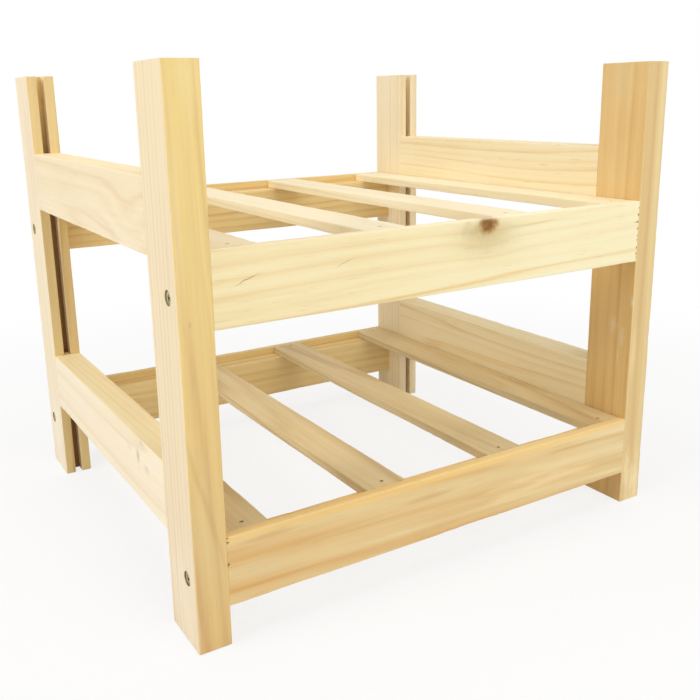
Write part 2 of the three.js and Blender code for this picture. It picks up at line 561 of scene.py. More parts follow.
def note_recess(mesh):
    """Keeps how deep points of the recess lie, from 0 at the head's top to 1 at the floor."""
    sunk = mesh.attributes.new("sunk", "FLOAT", "POINT")
    for vertex, kept in zip(mesh.vertices, sunk.data):
        depth = -vertex.co.z * PER_METRE / RECESS_DEPTH
        inside = vertex.co.xy.length * PER_METRE < RECESS_TOP[0] / 2
        kept.value = depth if inside and depth < RECESS_NOTED else 0.0


# Materials


def srgb(*seen):
    """A colour as it is seen, in steps of 255, as linear light by the curve of sRGB above its toe."""
    return (*(((value / 255 + 0.055) / 1.055) ** 2.4 for value in seen), 1.0)


class Nodes:
    """Short ways to add and join the nodes of one material or world."""

    def __init__(self, owner):
        owner.use_nodes = True
        self.tree = owner.node_tree

    def feed(self, socket, value):
        if isinstance(value, bpy.types.NodeSocket):
            self.tree.links.new(value, socket)
        else:
            socket.default_value = value

    def node(self, kind, inputs, **settings):
        """A new node with its settings, and its sockets fed by their names or numbers."""
        node = self.tree.nodes.new("ShaderNode" + kind)
        for key, value in settings.items():
            setattr(node, key, value)
        for key, value in inputs.items():
            self.feed(node.inputs[key], value)
        return node

    def add(self, kind, *values, output=0, **settings):
        """An output of a new node, whose sockets are fed from the first one on."""
        return self.node(kind, dict(enumerate(values)), **settings).outputs[output]

    def math(self, operation, *values):
        return self.add("Math", *values, operation=operation)

    def times(self, *values):
        return self.math("MULTIPLY", *values)

    def vector(self, operation, *values):
        output = "Value" if operation in ("LENGTH", "DOT_PRODUCT") else "Vector"
        return self.add("VectorMath", *values, output=output, operation=operation)

    def parts(self, value):
        return self.node("SeparateXYZ", {0: value}).outputs

    def joined(self, *values):
        return self.add("CombineXYZ", *values)

    def noise(self, place, wave, detail=2.0, output="Fac"):
        """Noise whose bumps are about a wave apart, in the units of the place."""
        inputs = {"Vector": place, "Scale": 1 / wave, "Detail": detail}
        return self.node("TexNoise", inputs).outputs[output]

    def ramp(self, value, stops, interpolation="EASE"):
        node = self.node("ValToRGB", {0: value})
        ramp = node.color_ramp
        ramp.interpolation = interpolation
        while len(ramp.elements) < len(stops):
            ramp.elements.new(0.5)
        for element, (place, colour) in zip(ramp.elements, stops):
            element.position = place
            element.color = colour if isinstance(colour, tuple) else (colour, colour, colour, 1)
        return node.outputs[0]

    def mix(self, share, first, second, blend="MIX"):
        inputs = {0: share, 6: first, 7: second}
        return self.node("Mix", inputs, data_type="RGBA", blend_type=blend).outputs[2]

    def smooth(self, value, low, high, start=0.0, stop=1.0):
        """The start at low and the stop at high, eased between them."""
        return self.add("MapRange", value, low, high, start, stop, interpolation_type="SMOOTHSTEP")

    def attribute(self, name):
        return self.add("Attribute", output="Fac", attribute_name=name)

    def shade(self, height, distance, values):
        """Feeds the material's shader, with a bump from the height."""
        bump = self.node("Bump", {"Strength": 1.0, "Distance": distance, "Height": height})
        for key, value in {**values, "Normal": bump.outputs[0]}.items():
            self.feed(self.tree.nodes["Principled BSDF"].inputs[key], value)


# Pine tones as they are seen, pale, middle and tan, and how strongly the growth rings show
TONES = {
    "cream": ((253, 238, 206), (247, 227, 186), (230, 198, 146), 0.55),
    "straw": ((253, 240, 204), (249, 231, 187), (234, 205, 148), 0.60),
    "yellow": ((243, 219, 160), (233, 203, 141), (210, 170, 106), 0.70),
    "blond": ((255, 247, 209), (253, 238, 192), (238, 208, 146), 0.55),
    "corn": ((246, 227, 180), (234, 206, 150), (221, 174, 106), 0.80),
    "gold": ((246, 219, 146), (236, 205, 138), (212, 169, 110), 0.70),
    "amber": ((236, 203, 143), (226, 187, 120), (202, 150, 82), 0.80),
    # Painted shade: the darker tone of the lower slats, which lie under the upper tier
    "shaded_honey": ((232, 212, 168), (218, 194, 146), (192, 156, 104), 0.80),
}
TONE_STOPS = (0.0, 0.4, 1.0)
TONE_START = 0.24

# Darkness across one growth ring, in crisp and in soft grain
CRISP = ((0.0, 0.12), (0.35, 0.0), (0.72, 0.55), (0.90, 1.0), (1.0, 0.2))
SOFT = ((0.0, 0.45), (0.30, 0.0), (0.55, 0.35), (0.82, 1.0), (1.0, 0.45))
RING_CHANCE = 0.8
RING_LEAST = 0.2

# Layers of the grain: how much the place along the board counts, the wave of the noise and its detail
BEND = (0.16, 50.0, 1.0)
WOBBLE = (0.03, 7.0, 2.0)
CANAL = (0.04, 0.55, 0.0)
FINE_LAYERS = {"strand": (0.012, 2.4, 3.0), "fibre": (0.02, 0.45, 2.0), "cloud": (0.35, 38.0, 2.0)}
SEED_SHIFT = (17.3, 9.1, 311.7)
BEND_REACH = 4
WOBBLE_REACH = 0.9
CANAL_RANGE = (0.76, 0.84)

# How much the layers add to the tone, the roughness and the relief
STRAND_SHARE = 0.45
FIBRE_SHARE = 0.24
CLOUD_SHARE = 0.65
PLANED_ROUGHNESS = 0.64
ROUGHNESS = {"late": -0.10, "fibre": 0.25, "cut": 0.18}
RELIEF = {"late": 0.35, "fibre": 0.9, "strand": 0.8, "canal": -0.6}
RELIEF_DEPTH = 0.08
PINE_SPECULAR = 0.35

# Knots: their colours from the heart outwards, and the settings of their masks
KNOT_HEART = srgb(120, 74, 12)
KNOT_RIM = srgb(180, 134, 70)
KNOT_TONES = ((0.0, KNOT_HEART), (0.4, srgb(144, 94, 32)), (0.7, KNOT_RIM), (1.0, srgb(226, 186, 126)))
KNOT_SHADE = srgb(210, 190, 136)
KNOT_SHADE_SHARE = 0.95
KNOT_STRETCH = 0.8
KNOT_ROUGH = 0.8
KNOT_ROUGH_WAVE = 3.0
KNOT_REACH = 1.45
KNOT_RANGE = (1.2, 0.4)
KNOT_HALO = 3.0
KNOT_PUSH = 0.5
KNOT_CROWN = 4.5
KNOT_CROWN_SHARE = 0.55
KNOT_FLECK_WAVE = 1.1
KNOT_FLECK_RANGE = (0.45, 0.75)
KNOT_FLECK_SHARE = 0.6

# Painted light: paler tints on faces by the way that they look, with the grain over them as a veil
FACES = {"left": (-1.0, 0.0, 0.0), "front": (0.0, -1.0, 0.0), "top": (0.0, 0.0, 1.0)}
FACING_RANGE = (0.35, 0.95)
WHITE = srgb(255, 255, 255)
VEIL_STOPS = ((0.15, WHITE), (0.95, srgb(246, 236, 218)))

# Edges of marks, resin, worn edges, end grain, and painted shade in recesses, which fades towards the top
# of a post
MARK_NOISE = (4.0, 3.0)
MARK_RAGGED = 1.6
MARK_RANGE = (1.75, 0.75)
RESIN = srgb(150, 104, 56)
ARRIS_SHARE = 0.20
END_GRAIN = srgb(206, 178, 132)
END_GRAIN_SHARE = 0.75
RECESS_SHADE = srgb(128, 88, 36)
RECESS_SHADE_SHARE = {"X": 0.25, "Y": 0.0, "Z": 0.75}
RECESS_SHADE_FADE = (140.0, 70.0)


@dataclass
class Mark:
    """A stain, scuff or stripe: its middle and reach, its colour and how strongly it shows.

    The grain is how far its ragged edge is drawn out along the board, from 1 for not at all down to 0,
    and the slant is how far it strays across the board for each millimetre along it.
    """

    middle: tuple
    reach: tuple
    stain: tuple
    share: float
    grain: float = 1.0
    slant: tuple = (0.0, 0.0)


@dataclass
class Wood:
    """How one board was cut from its log, as the pith's place and slope, and how its faces look.

    Growth rings are as wide as the ring and stray by the bend, and the drift changes the tone along the
    board. A tint is face, colour and share, a knot is height, place along, radius and share of its heart.
    """

    seed: int
    tone: str
    pith: tuple
    slope: tuple
    ring: float
    bend: float
    contrast: float = 1.0
    shape: tuple = CRISP
    drift: float = 0.0
    fine: float = 1.0
    face_light: list = field(default_factory=list)
    resin: float = 0.2
    knots: list = field(default_factory=list)
    marks: list = field(default_factory=list)


class Knot:
    """Masks of a knot that runs across the board."""

    def __init__(self, nodes, up, along, radius, heart_share):
        offset = nodes.vector("SUBTRACT", nodes.place, (0.0, up, along))
        flat = nodes.vector("MULTIPLY", offset, (0.0, 1.0, KNOT_STRETCH))
        rough = nodes.math("SUBTRACT", nodes.noise(nodes.place, KNOT_ROUGH_WAVE), 0.5)
        ragged = nodes.times(rough, KNOT_ROUGH * radius)
        distance = nodes.math("ADD", nodes.vector("LENGTH", flat), ragged)
        self.reach = nodes.math("DIVIDE", distance, KNOT_REACH * radius)
        self.heart = nodes.times(nodes.smooth(self.reach, *KNOT_RANGE), heart_share)
        spread = nodes.math("POWER", nodes.math("DIVIDE", distance, KNOT_HALO * radius), 2.0)
        self.halo = nodes.math("EXPONENT", nodes.times(spread, -1.0))
        self.above = nodes.parts(offset)[1]
        below = nodes.times(self.halo, nodes.smooth(self.above, KNOT_CROWN, -KNOT_CROWN))
        self.shade = nodes.times(below, KNOT_SHADE_SHARE * heart_share)


class Pine(Nodes):
    """Planed pine: growth rings round the pith, fibres, resin canals, knots, worn edges, end grain, painted
    light on faces and painted shade in recesses.
    """

    def __init__(self, name, centre, grain, wood):
        self.material = bpy.data.materials.new(name)
        super().__init__(self.material)
        self.grain = grain
        self.wood = wood
        self.place = self.board_place(centre)
        self.shifted = self.vector("ADD", self.place, tuple(step * wood.seed for step in SEED_SHIFT))
        self.knots = [Knot(self, *knot) for knot in wood.knots]
        self.layers = {key: self.uneven(settings) for key, settings in FINE_LAYERS.items()}
        self.layers["late"] = self.growth_rings()
        self.layers["canal"] = self.smooth(self.layer(CANAL), *CANAL_RANGE)
        self.layers["cut"] = self.attribute("cut")
        self.layers["along"] = self.parts(self.place)[2]
        base = {"Base Color": self.colour(), "Roughness": self.with_layers(PLANED_ROUGHNESS, ROUGHNESS)}
        base["Specular IOR Level"] = PINE_SPECULAR
        self.shade(self.with_layers(0.0, RELIEF), RELIEF_DEPTH * MM, base)

    def board_place(self, centre):
        """The place across, up and along the board, in millimetres from its centre."""
        place = self.add("TexCoord", output="Object")
        from_centre = self.vector("SUBTRACT", place, tuple(centre * MM))
        parts = self.parts(self.vector("MULTIPLY", from_centre, TO_MM))
        return self.joined(*(parts[axis] for axis in AXES[self.grain]))

    def layer(self, settings, output="Fac"):
        along, wave, detail = settings
        drawn_out = self.vector("MULTIPLY", self.shifted, (1.0, 1.0, along))
        return self.noise(drawn_out, wave, detail, output)

    def uneven(self, settings):
        """A layer that goes both ways from 0."""
        return self.math("SUBTRACT", self.layer(settings), 0.5)

    def with_layers(self, total, shares):
        """The total with a share of each named layer added."""
        for key, share in shares.items():
            total = self.math("MULTIPLY_ADD", self.layers[key], share, total)
        return total

    def covered(self, mask, share, colour, cover, blend="MIX"):
        return self.mix(self.times(mask, share), colour, cover, blend)

    def growth_rings(self):
        """How dark the growth rings are, each by its own chance."""
        wood = self.wood
        bend = self.vector("SUBTRACT", self.layer(BEND, "Color"), (0.5, 0.5, 0.5))
        reach = BEND_REACH * wood.bend
        stray = self.vector("MULTIPLY", bend, (reach, reach, 0.0))
        bent = self.parts(self.vector("ADD", self.place, stray))
        lean = [self.math("MULTIPLY_ADD", bent[2], wood.slope[k], wood.pith[k]) for k in (0, 1)]
        across = [self.math("SUBTRACT", bent[k], lean[k]) for k in (0, 1)]
        radius = self.vector("LENGTH", self.joined(*across, 0.0))
        wobble = self.times(self.uneven(WOBBLE), WOBBLE_REACH)
        count = self.math("ADD", self.math("DIVIDE", radius, wood.ring), wobble)
        for knot in self.knots:
            push = self.times(knot.above, -KNOT_PUSH / wood.ring)
            count = self.math("ADD", count, self.times(knot.halo, push))
        late = self.ramp(self.math("FRACT", count), wood.shape)
        chance = self.node("TexWhiteNoise", {"W": self.math("FLOOR", count)}, noise_dimensions="1D")
        strength = self.math("MULTIPLY_ADD", chance.outputs["Value"], RING_CHANCE, RING_LEAST)
        return self.times(late, strength)

    def colour(self):
        """The grain, then what lies on it and painted light on faces, then worn edges, end grain and
        painted shade.
        """
        wood = self.wood
        *seen, strength = TONES[wood.tone]
        tones = [srgb(*tone) for tone in seen]
        shares = {"late": strength * wood.contrast, "strand": STRAND_SHARE * wood.fine}
        grain_tone = self.with_layers(TONE_START, shares)
        tone = self.with_layers(grain_tone, {"fibre": FIBRE_SHARE * wood.fine, "cloud": CLOUD_SHARE})
        if wood.drift:
            tone = self.with_layers(tone, {"along": wood.drift})
        colour = self.ramp(tone, tuple(zip(TONE_STOPS, tones)), "LINEAR")
        colour = self.covered(self.layers["canal"], wood.resin, colour, RESIN)
        for knot in self.knots:
            colour = self.with_knot(colour, knot)
        # Painted light: paler tints on faces that look left, to the front or up
        if wood.face_light:
            colour = self.with_face_light(colour, self.ramp(grain_tone, VEIL_STOPS, "LINEAR"))
        for mark in wood.marks:
            colour = self.with_mark(colour, mark)
        colour = self.covered(self.attribute("arris"), ARRIS_SHARE, colour, tones[0])
        colour = self.covered(self.layers["cut"], END_GRAIN_SHARE, colour, END_GRAIN, "MULTIPLY")
        # Painted shade in grooves, screw holes and inner corners, fading out towards the top of a post
        painted_shade = self.attribute("painted_shade")
        if self.grain == "Z":
            painted_shade = self.times(painted_shade, self.smooth(self.layers["along"], *RECESS_SHADE_FADE))
        return self.covered(painted_shade, RECESS_SHADE_SHARE[self.grain], colour, RECESS_SHADE, "MULTIPLY")

    def with_knot(self, colour, knot):
        colour = self.mix(knot.shade, colour, KNOT_SHADE)
        core = self.ramp(knot.reach, KNOT_TONES)
        fleck = self.smooth(self.noise(self.place, KNOT_FLECK_WAVE), *KNOT_FLECK_RANGE)
        core = self.covered(fleck, KNOT_FLECK_SHARE, core, KNOT_HEART)
        crown = self.smooth(knot.above, 0.0, KNOT_CROWN)
        core = self.covered(crown, KNOT_CROWN_SHARE, core, KNOT_RIM)
        return self.mix(knot.heart, colour, core)

    def with_face_light(self, colour, veil):
        # Painted light: faces that look one way get a paler tint, with the grain veiled over it
        normal = self.add("TexCoord", output="Normal")
        for side, lit_tint, share in self.wood.face_light:
            facing = self.smooth(self.vector("DOT_PRODUCT", normal, FACES[side]), *FACING_RANGE)
            colour = self.covered(facing, share, colour, lit_tint)
            colour = self.covered(facing, share, colour, veil, "MULTIPLY")
        return colour

    def with_mark(self, colour, mark):
        offset = self.vector("SUBTRACT", self.place, mark.middle)
        run = self.parts(offset)[2]
        strays = [self.times(run, -slant) for slant in mark.slant]
        offset = self.vector("ADD", offset, self.joined(*strays, 0.0))
        distance = self.vector("LENGTH", self.vector("DIVIDE", offset, mark.reach))
        ragged = self.layer((mark.grain, *MARK_NOISE))
        mask = self.smooth(self.math("MULTIPLY_ADD", ragged, MARK_RAGGED, distance), *MARK_RANGE)
        return self.covered(mask, mark.share, colour, mark.stain)


# Steel: its colours, patches and scratches, and painted shade in the recesses of screws
ZINC = srgb(200, 194, 156)
DULL_ZINC = srgb(136, 130, 94)
ZINC_ROUGHNESS = 0.40
IRON = srgb(166, 144, 106)
DULL_IRON = srgb(120, 102, 72)
IRON_ROUGHNESS = 0.55
PATCH_NOISE = (1.6, 3.0)
PATCH_STOPS = (0.35, 0.7)
PATCH_ROUGHNESS = 0.3
SCRATCH_STRETCH = (1.0, 6.0, 1.5)
SCRATCH_WAVE = 0.5
SCRATCH_DEPTH = 0.03
SCREW_HOLLOW_SHADE = srgb(66, 52, 26)
HOLLOW_SHADE_RANGE = (0.05, 0.45)
HOLLOW_SHADE_SHARE = 0.92


def steel(name, bright, dull, roughness):
    """Worn plated steel: patches of dulled plating, fine scratches and painted shade in a recess."""
    material = bpy.data.materials.new(name)
    nodes = Nodes(material)
    place = nodes.vector("MULTIPLY", nodes.add("TexCoord", output="Object"), TO_MM)
    patch = nodes.noise(place, *PATCH_NOISE)
    scratch = nodes.noise(nodes.vector("MULTIPLY", place, SCRATCH_STRETCH), SCRATCH_WAVE)
    colour = nodes.ramp(patch, tuple(zip(PATCH_STOPS, (bright, dull))))
    # Painted shade, darker with depth in the cross recess
    hollow_shade = nodes.smooth(nodes.attribute("sunk"), *HOLLOW_SHADE_RANGE)
    colour = nodes.mix(nodes.times(hollow_shade, HOLLOW_SHADE_SHARE), colour, SCREW_HOLLOW_SHADE)
    rough = nodes.math("MULTIPLY_ADD", patch, PATCH_ROUGHNESS, roughness - PATCH_ROUGHNESS / 2)
    base = {"Base Color": colour, "Roughness": rough, "Metallic": 1.0}
    nodes.shade(scratch, SCRATCH_DEPTH * MM, base)
    return material


# Colours of marks and of tints of painted light
# Painted light on faces that look left
LEFT_FACE_LIGHT = srgb(247, 233, 208)
GREY = srgb(170, 166, 164)
SCUFF = srgb(246, 236, 214)
RUST = srgb(196, 134, 84)
# Painted shade in the torn notches at the ends of rails
NOTCH_SHADE = srgb(96, 66, 34)
# Also a tint of painted light on the front face of a post
MUTED_TAN = srgb(228, 206, 156)
# A tint of painted light on the top of the lower front rail
PEACH = srgb(253, 218, 146)
# Also a tint of painted light on the tops of the left side rails
LIGHT_PEACH = srgb(255, 236, 188)
# Also a tint of painted light on left faces and on tops
PALE_CREAM = srgb(255, 243, 219)
SAPWOOD = srgb(243, 224, 170)
STREAK = srgb(206, 164, 104)
ASH = srgb(226, 200, 166)
# Painted light along the top edge of the lower front rail
TOP_EDGE_LIGHT = srgb(253, 214, 136)
BUTTER = srgb(252, 228, 174)
# A darker patch left of the knot, near the top edge of the upper front rail
DARKER_TAN = srgb(200, 178, 124)

# Where marks lie: the left of posts and side rails or front of cross rails, and the front of posts
FACE = -8.2
FRONT = -16.5
WHOLE_LENGTH = 600.0

# How each board was cut. Places are across, up and along it, from its centre. Up is backwards in a post.
# Tints on faces that look left, to the front or up are painted light.
WOODS = {
    "post_front_left": Wood(
        1, "gold", (-30, -60), (-0.05, 0), 4.4, 1.6, 0.8, SOFT, -0.0024, 0.85,
        face_light=[("left", LEFT_FACE_LIGHT, 0.7)], resin=0.05, marks=[
            Mark((0, FRONT, -85), (14, 3, 80), MUTED_TAN, 0.35, 0.1),
            Mark((FACE, 0, -115), (2, 26, 48), PALE_CREAM, 0.4, 0.1),
            Mark((-2.8, FRONT, 25), (1.4, 1, 2.4), RUST, 0.35),
            Mark((-1.2, FRONT, -57.3), (2.4, 3, 54), STREAK, 0.40, 0.05, (-0.24, 0)),
            Mark((-5.5, FRONT, 70), (2.6, 3, 70), BUTTER, 0.40, 0.05),
            Mark((3, FRONT, 126), (9, 3, 22), BUTTER, 0.40, 0.1),
            Mark((FACE, -10, 50), (2, 4, 50), ASH, 0.35, 0.05),
        ],
    ),
    "post_front_right": Wood(
        2, "amber", (40, -50), (0.01, 0), 6, 1.6, 0.55, SOFT,
        face_light=[("front", MUTED_TAN, 0.5)], resin=0.1, marks=[
            Mark((5.2, FRONT, 0), (4.6, 3, WHOLE_LENGTH), SAPWOOD, 0.75, 0.02),
            Mark((-7.6, FRONT, 0), (1.6, 1.6, WHOLE_LENGTH), SAPWOOD, 0.55, 0.02),
            Mark((2, FRONT, -126), (14, 4, 36), LIGHT_PEACH, 0.8, 0.3),
            Mark((-5, FRONT, -36), (4, 3, 28), SAPWOOD, 0.6, 0.02),
            Mark((FACE, 0, 126), (2, 22, 30), MUTED_TAN, 0.45, 0.05),
            Mark((FACE, -16, -3.9), (1, 2.5, 5), SCUFF, 0.5),
            Mark((FACE, -3.3, -20.2), (1, 5, 9), SCUFF, 0.28),
            Mark((FACE, -7.5, -38.9), (1, 1.4, 6), SCUFF, 0.4),
            Mark((FACE, -9.9, -25.7), (1, 3, 10), SCUFF, 0.3),
        ],
    ),
    "post_rear_left": Wood(
        3, "yellow", (26, 60), (0.03, 0), 4, 1.6,
        face_light=[("left", PALE_CREAM, 0.75)], marks=[
            Mark((FACE, -6, 90), (2, 22, 70), ASH, 0.3, 0.1),
            Mark((FACE, 0, -110), (2, 24, 64), PALE_CREAM, 0.8, 0.1),
        ],
    ),
    "post_rear_right": Wood(4, "cream", (-18, 55), (-0.02, 0), 4.4, 1.8, 0.8),
    "side_rail_upper_left": Wood(
        5, "cream", (42, -14), (0.03, 0.05), 3.6, 3.5, 0.75, SOFT,
        face_light=[("left", LEFT_FACE_LIGHT, 0.25), ("top", LIGHT_PEACH, 0.5)], knots=[(15, -78, 8, 0)],
        marks=[Mark((FACE, -11, -28), (2, 2.2, 56), ASH, 0.45, 0.05, (0, 0.112))],
    ),
    "side_rail_lower_left": Wood(
        6, "cream", (60, 22), (-0.02, 0.04), 3.8, 2.5,
        face_light=[("left", PALE_CREAM, 0.65), ("top", LIGHT_PEACH, 0.85)], marks=[
            Mark((FACE, 6.2, -65.2), (1, 6.8, 3.8), GREY, 0.62),
            Mark((FACE, 16.2, -72), (1, 2.4, 3), GREY, 0.45),
            Mark((FACE, 3.9, -77.8), (1, 4.4, 4.8), GREY, 0.30),
            Mark((FACE, 7, -50.3), (1, 3.4, 6.4), GREY, 0.18),
        ],
    ),
    "side_rail_upper_right": Wood(7, "straw", (-48, 40), (0.02, 0.03), 3, 2.5, 0.9, resin=0.3),
    "side_rail_lower_right": Wood(8, "straw", (-52, -18), (-0.02, 0.04), 3.4, 2.5),
    "front_rail_upper": Wood(
        9, "blond", (-40, -150), (0, 0.03), 7, 3, 1.25, SOFT, -0.0016, 0.8,
        face_light=[("top", PALE_CREAM, 0.5)], knots=[(15, 19.2, 4.5, 0.97)], marks=[
            Mark((FACE, -4.5, -84.8), (1, 0.7, 2.5), RUST, 0.2),
            Mark((FACE, 12.5, 10), (2, 7, 13), DARKER_TAN, 0.32),
            Mark((FACE, 12.4, 55), (2, 1.1, 36), STREAK, 0.36, 0.03, (0, 0.053)),
        ],
    ),
    "front_rail_lower": Wood(
        10, "corn", (-45, 120), (0.02, -0.05), 13, 8, 0.9, SOFT, -0.0013, 0.8,
        face_light=[("top", PEACH, 0.5)], resin=0.1, marks=[
            # Painted light along the top edge
            Mark((FACE, 17.7, 0), (4, 5.5, WHOLE_LENGTH), TOP_EDGE_LIGHT, 0.75, 0.02),
            Mark((FACE, -5, 64), (2, 12, 52), BUTTER, 0.9, 0.1),
            Mark((FACE, 12, 50), (2, 4, 44), BUTTER, 0.5, 0.05),
            Mark((FACE, 13, -112), (2, 3.2, 24), STREAK, 0.5, 0.1),
            Mark((FACE, 6.5, -14), (2, 2.6, 22), STREAK, 0.5, 0.1),
            Mark((FACE, -2, -112), (2, 10, 24), MUTED_TAN, 0.4, 0.2),
        ],
    ),
    "rear_rail_upper": Wood(11, "yellow", (40, -120), (0, 0.02), 5, 2.5),
    "rear_rail_lower": Wood(12, "yellow", (45, 110), (0, -0.03), 5.5, 2.5),
}

# Slats, with the pith below and to the right and left by turns. Their grain is ring, bend and contrast.
# The lower slats take a darker tone as painted shade under the upper tier, the upper slats painted light on
# their tops
SLAT_TONES = {"upper": "straw", "lower": "shaded_honey"}
SLAT_FACE_LIGHT = {"upper": [("top", PALE_CREAM, 0.4)], "lower": []}
SLAT_SEED = 20
SLAT_PITH = (9.0, -46.0)
SLAT_PITH_STEP = 4.0
SLAT_SLOPE = (0.01, 0.02)
SLAT_GRAIN = (3.4, 2.0, 0.65)


def slat_wood(shelf, number):
    seed = SLAT_SEED + len(SLATS) * SHELVES.index(shelf) + number
    side = 1 if number % 2 else -1
    pith = (side * SLAT_PITH[0], SLAT_PITH[1] - SLAT_PITH_STEP * number)
    slope = (side * SLAT_SLOPE[0], SLAT_SLOPE[1])
    return Wood(seed, SLAT_TONES[shelf], pith, slope, *SLAT_GRAIN, SOFT, face_light=SLAT_FACE_LIGHT[shelf])


# Boards


def dress(piece, node, material):
    """Gives a new piece its material and puts it in place of its node."""
    piece.data.materials.clear()
    piece.data.materials.append(material)
    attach(piece, "root")
    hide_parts(node)


def board(node, grain, wood, runs, *cuts):
    """A board through runs of outline, stations and tear, with groups of cutters taken out of it."""
    rings = []
    for outline, stations, tear in runs:
        rings += carry(outline, stations, grain, wood.seed, tear)
    piece = closed_board("pine_" + node, rings)
    for cutters in cuts:
        if cutters:
            drill(piece, cutters)
    low, high = box_mm(node)
    dress(piece, node, Pine("pine." + node, (low + high) / 2, grain, wood).material)
    return piece


def post(node, end, screws):
    """A board on end, grooved down the face that looks into the rack."""
    low, high = box_mm(node)
    middle = (low + high) / 2
    x = (high.x - low.x) / 2
    y = (high.y - low.y) / 2
    groove = GROOVE_WIDTH / 2
    floor = y - GROOVE_DEPTH
    section = [(-x, -y), (x, -y), (x, y), (groove, y)]
    section += [(groove, floor), (-groove, floor), (-groove, y), (-x, y)]
    if end > 0:
        section = [(across, -up) for across, up in reversed(section)]
    free_corner = (math.copysign(x, middle.x), end * y)
    easings = [EDGE_EASING if corner == free_corner else JOINT_EASING for corner in section]
    outline = eased_outline(section, easings, side_counts(section))
    for spot in outline:
        spot.anchor = spot.anchor + middle.xy
    runs = [(outline, board_rings(low.z, high.z), TEAR["post"])]
    piece = board(node, "Z", WOODS[node], runs, [screw_hole(screw) for screw in screws])
    # Painted shade on the walls round the screw heads
    shade_bored_walls(piece.data, screws)


def torn_end(node, low, high, outer):
    """Splinter-shaped notches in one sawn end of a rail, and painted shade in them."""
    side, splinters = TORN_ENDS[node]
    at = high.x if side == "right" else low.x
    centre = (low + high) / 2
    notches = []
    marks = []
    for height, length, width in splinters:
        notches.append(((at - length, height), (at + length, height), width))
        # Painted shade in the notch
        middle = (outer - centre.y, height - centre.z, at - centre.x)
        reach = (TORN_MARK_DEPTH, TORN_MARK_REACH * width, TORN_MARK_REACH * length)
        marks.append(Mark(middle, reach, NOTCH_SHADE, TORN_MARK_SHARE))
    return notches, marks


def cross_rail(node, end, screws, nails):
    """A board on edge, rabbeted along its inner top edge for the slat ends."""
    low, high = box_mm(node)
    slat_low, slat_high = box_mm("slat_lower_1")
    outer = low.y if end < 0 else high.y
    thickness = high.y - low.y
    lip = abs(outer) - slat_high.y - SLAT_END_GAP
    ledge = high.z - (slat_high.z - slat_low.z)
    section = [(0, low.z), (thickness, low.z), (thickness, ledge), (lip, ledge), (lip, high.z), (0, high.z)]
    easings = [EDGE_EASING] * 4 + [JOINT_EASING, EDGE_EASING]
    if end > 0:
        section = [(-across, up) for across, up in reversed(section)]
        easings.reverse()
    section = [(outer + across, up) for across, up in section]
    wood = WOODS[node]
    outline = eased_outline(section, easings, side_counts(section, CROSS_RAIL_STEP))
    runs = [(outline, board_rings(low.x, high.x), TEAR["cross_rail"])]
    holes = [screw_hole(screw) for screw in screws] + [nail_hole(nail) for nail in nails]
    openings = CHECKS.get(node, [])
    if node in TORN_ENDS:
        notches, marks = torn_end(node, low, high, outer)
        openings = openings + notches
        wood.marks += marks
    board(node, "X", wood, runs, holes, [check_cutter(*opening, outer) for opening in openings])


def rectangle(left, right, low, high):
    return [(left, low), (right, low), (right, high), (left, high)]


def side_rail(node):
    """A board on edge between two posts, with a tongue at both ends."""
    low, high = box_mm(node)
    shoulder = box_mm("post_rear_left")[0].y
    middle = (low.x + high.x) / 2
    body = rectangle(low.x, high.x, low.z, high.z)
    tongue = rectangle(middle - TONGUE_WIDTH / 2, middle + TONGUE_WIDTH / 2, low.z, high.z)
    counts = side_counts(body)
    body_outline = eased_outline(body, [EDGE_EASING] * 4, counts)
    tongue_outline = eased_outline(tongue, [TONGUE_EASING] * 4, counts)
    runs = [
        (tongue_outline, tongue_rings(low.y, 1, -shoulder), TEAR["tongue"]),
        (body_outline, board_rings(-shoulder, shoulder)[1:-1], TEAR["side_rail"]),
        (tongue_outline, tongue_rings(high.y, -1, shoulder)[::-1], TEAR["tongue"]),
    ]
    board(node, "Y", WOODS[node], runs)


def slat(node, wood, nails):
    """A thin board let into the rabbets of the front and rear rails."""
    low, high = box_mm(node)
    section = rectangle(low.x, high.x, low.z, high.z)
    outline = eased_outline(section, [EDGE_EASING] * 4, side_counts(section))
    runs = [(outline, board_rings(low.y - SLAT_REACH, high.y + SLAT_REACH), TEAR["slat"])]
    board(node, "Y", wood, runs, [nail_hole(nail) for nail in nails])


screws = {}
nails = {}
for shelf in SHELVES:
    for end in ENDS:
        for side, sign in SIDES.items():
            screws[shelf, end, side] = Fastener(f"screw_{shelf}_{end}_{side}", (sign, 0, 0))
        for number in SLATS:
            nails[shelf, end, number] = Fastener(f"nail_{shelf}_{number}_{end}", (0, 0, 1))

for end, end_sign in ENDS.items():
    for side in SIDES:
        post(f"post_{end}_{side}", end_sign, [screws[shelf, end, side] for shelf in SHELVES])

for shelf in SHELVES:
    for side in SIDES:
        side_rail(f"side_rail_{shelf}_{side}")
    for end, end_sign in ENDS.items():
        rail_screws = [screws[shelf, end, side] for side in SIDES]
        rail_nails = [nails[shelf, end, number] for number in SLATS]
        cross_rail(f"{end}_rail_{shelf}", end_sign, rail_screws, rail_nails)
    for number in SLATS:
        slat_nails = [nails[shelf, end, number] for end in ENDS]
        slat(f"slat_{shelf}_{number}", slat_wood(shelf, number), slat_nails)

screw_steel = steel("screw_steel", ZINC, DULL_ZINC, ZINC_ROUGHNESS)
nail_steel = steel("nail_steel", IRON, DULL_IRON, IRON_ROUGHNESS)

for index, screw in enumerate(screws.values()):
    piece = finished_object("steel_" + screw.node, turned(screw_rows(screw), ROUND_SIDES))
    for turn in (0.0, math.pi / 2):
        drill(piece, [recess_blade(turn)])
    # How deep the recess lies, for its painted shade
    note_recess(piece.data)
    half_turns = noise.noise(Vector((index * SCREW_TURN_STEP, *SCREW_TURN_NOISE)))
    piece.data.transform(screw.matrix(math.pi * half_turns))
    dress(piece, screw.node, screw_steel)

